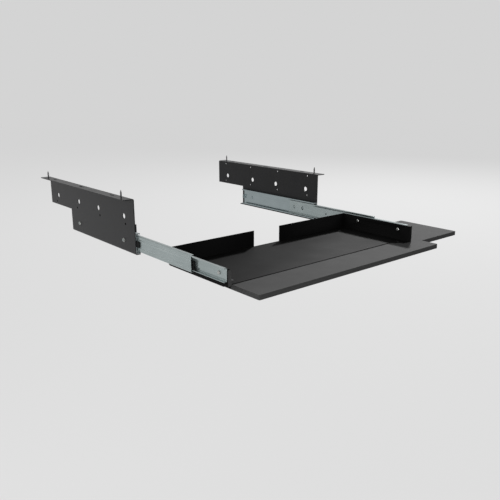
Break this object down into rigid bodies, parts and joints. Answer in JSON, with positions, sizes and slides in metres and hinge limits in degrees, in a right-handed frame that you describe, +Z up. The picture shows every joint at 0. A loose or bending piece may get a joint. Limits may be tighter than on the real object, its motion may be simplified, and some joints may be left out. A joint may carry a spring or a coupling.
{
  "type": "keyboard tray under desk",
  "caption": "Pull-out keyboard tray hung under a desk on stepped steel brackets with telescopic ball slides, a black pan on a grey board and a side mouse board.",
  "frame": {"origin": "centre of the desk screws, on the underside of the desk, which is the top of the flanges", "axes": "+X to the user's right, +Y to the back of the desk, +Z up; the tray pulls out towards -Y"},
  "size_m": [0.7955, 0.7955, 0.1634],
  "materials": {
    "bracket_coat": "dark grey fine-texture powder coat",
    "zinc_rail": "bright zinc plate",
    "zinc_screw": "zinc plate",
    "ball_cage": "steel strip with balls",
    "black_plastic": "moulded",
    "pan_coat": "black satin powder coat",
    "laminate": "grey laminate on board"
  },
  "bodies": {
    "brackets": {"bracket_left": "bracket_coat", "bracket_right": "bracket_coat", "desk_screw_fl": "zinc_screw", "desk_screw_bl": "zinc_screw", "desk_screw_fr": "zinc_screw", "desk_screw_br": "zinc_screw", "outer_rail_left": "zinc_rail", "outer_rail_right": "zinc_rail", "rail_screw_fl": "zinc_screw", "rail_screw_bl": "zinc_screw", "rail_screw_fr": "zinc_screw", "rail_screw_br": "zinc_screw", "rail_nut_fl": "zinc_screw", "rail_nut_bl": "zinc_screw", "rail_nut_fr": "zinc_screw", "rail_nut_br": "zinc_screw", "rail_buffer_left": "black_plastic", "rail_buffer_right": "black_plastic"},
    "tray": {"pan": "pan_coat", "pan_screw_fl": "zinc_screw", "pan_screw_bl": "zinc_screw", "pan_screw_fr": "zinc_screw", "pan_screw_br": "zinc_screw", "keyboard_board": "laminate", "mouse_guide_front": "pan_coat", "mouse_guide_back": "pan_coat", "guide_screw_f1": "zinc_screw", "guide_screw_f2": "zinc_screw", "guide_screw_f3": "zinc_screw", "guide_screw_b1": "zinc_screw", "guide_screw_b2": "zinc_screw", "guide_screw_b3": "zinc_screw", "inner_rail_left": "zinc_rail", "inner_rail_right": "zinc_rail", "lever_pin_left": "zinc_screw", "lever_pin_right": "zinc_screw", "wall_screw_fl": "zinc_screw", "wall_screw_bl": "zinc_screw", "wall_screw_fr": "zinc_screw", "wall_screw_br": "zinc_screw", "wall_nut_fl": "zinc_screw", "wall_nut_bl": "zinc_screw", "wall_nut_fr": "zinc_screw", "wall_nut_br": "zinc_screw"},
    "mouse": {"mouse_board": "laminate", "mouse_stop_front": "zinc_screw", "mouse_stop_back": "zinc_screw"},
    "mid_left": {"mid_rail_left": "zinc_rail"},
    "outer_balls_left": {"outer_cage_left": "ball_cage"},
    "inner_balls_left": {"inner_cage_left": "ball_cage"},
    "release_left": {"lever_left": "black_plastic"},
    "mid_right": {"mid_rail_right": "zinc_rail"},
    "outer_balls_right": {"outer_cage_right": "ball_cage"},
    "inner_balls_right": {"inner_cage_right": "ball_cage"},
    "release_right": {"lever_right": "black_plastic"}
  },
  "joints": [
    {"name": "tray_slide", "type": "slide", "parent": "brackets", "child": "tray", "axis": [0, 1, 0], "range_m": [0, 0.299]},
    {"name": "mid_left_slide", "type": "slide", "parent": "brackets", "child": "mid_left", "axis": [0, 1, 0], "range_m": [0, 0.2]},
    {"name": "outer_balls_left_slide", "type": "slide", "parent": "brackets", "child": "outer_balls_left", "axis": [0, 1, 0], "range_m": [0, 0.1]},
    {"name": "inner_balls_left_slide", "type": "slide", "parent": "brackets", "child": "inner_balls_left", "axis": [0, 1, 0], "range_m": [0, 0.25]},
    {"name": "release_left_pivot", "type": "hinge", "parent": "tray", "child": "release_left", "pos_m": [-0.27025, -0.39234, -0.0978], "axis": [-1, 0, 0], "range_deg": [0, 5]},
    {"name": "mid_right_slide", "type": "slide", "parent": "brackets", "child": "mid_right", "axis": [0, 1, 0], "range_m": [0, 0.2]},
    {"name": "outer_balls_right_slide", "type": "slide", "parent": "brackets", "child": "outer_balls_right", "axis": [0, 1, 0], "range_m": [0, 0.1]},
    {"name": "inner_balls_right_slide", "type": "slide", "parent": "brackets", "child": "inner_balls_right", "axis": [0, 1, 0], "range_m": [0, 0.25]},
    {"name": "release_right_pivot", "type": "hinge", "parent": "tray", "child": "release_right", "pos_m": [0.27025, -0.39234, -0.0978], "axis": [-1, 0, 0], "range_deg": [0, 5]},
    {"name": "mouse_slide", "type": "slide", "parent": "tray", "child": "mouse", "axis": [1, 0, 0], "range_m": [-0.19, 0]}
  ],
  "couplings": [
    {"joint": "mid_left_slide", "follows": "tray_slide", "ratio": 0.6667},
    {"joint": "outer_balls_left_slide", "follows": "tray_slide", "ratio": 0.33335},
    {"joint": "inner_balls_left_slide", "follows": "tray_slide", "ratio": 0.83335},
    {"joint": "mid_right_slide", "follows": "tray_slide", "ratio": 0.6667},
    {"joint": "outer_balls_right_slide", "follows": "tray_slide", "ratio": 0.33335},
    {"joint": "inner_balls_right_slide", "follows": "tray_slide", "ratio": 0.83335}
  ]
}
